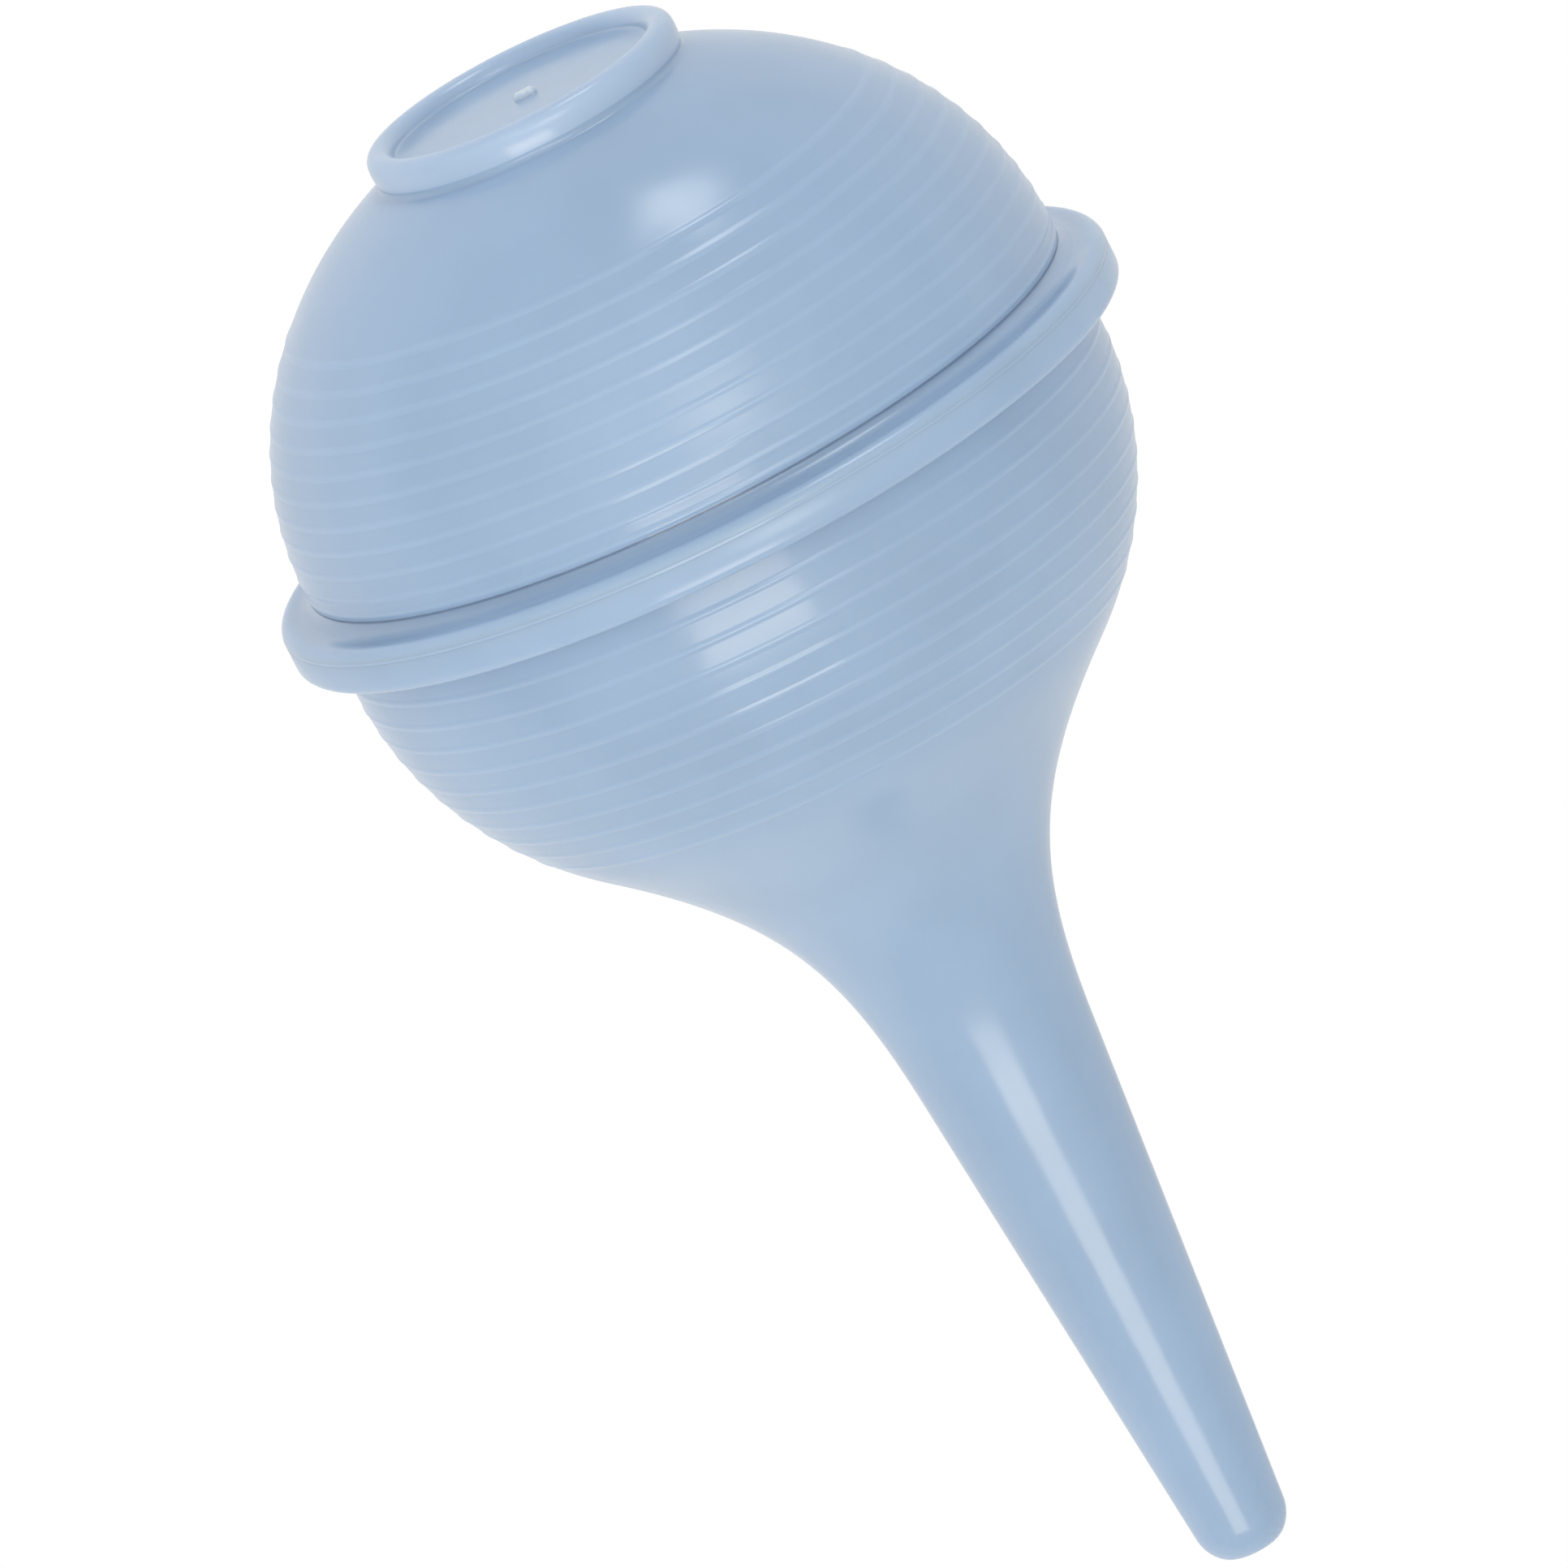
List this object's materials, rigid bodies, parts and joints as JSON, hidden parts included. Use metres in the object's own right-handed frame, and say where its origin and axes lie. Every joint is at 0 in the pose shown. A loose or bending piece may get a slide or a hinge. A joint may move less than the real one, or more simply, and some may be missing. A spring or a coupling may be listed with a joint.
{
  "type": "nasal aspirator",
  "caption": "Soft bulb nasal aspirator with a finger ring at its middle, a pressable thumb base and a long tapered nozzle with an open bore.",
  "frame": {"origin": "centre of the foot's flat lip, where the aspirator stands on a table", "axes": "+Z along the axis of revolution, from the thumb base to the nozzle tip; X and Y are alike"},
  "size_m": [0.0568, 0.0568, 0.105],
  "materials": {
    "bulb_pvc": "gloss",
    "ring_pvc": "gloss",
    "weld": "satin"
  },
  "bodies": {
    "bulb": {"rear_flange": "ring_pvc", "rear_wall": "bulb_pvc", "weld_bead": "weld", "front_flange": "ring_pvc", "front_dome": "bulb_pvc", "nozzle": "bulb_pvc"},
    "base": {"thumb_base": "bulb_pvc"}
  },
  "joints": [
    {"name": "bulb_squeeze", "type": "slide", "parent": "bulb", "child": "base", "axis": [0, 0, 1], "range_m": [0, 0.013], "stiffness_N_per_m": 800, "deforming": ["rear_wall"]}
  ]
}
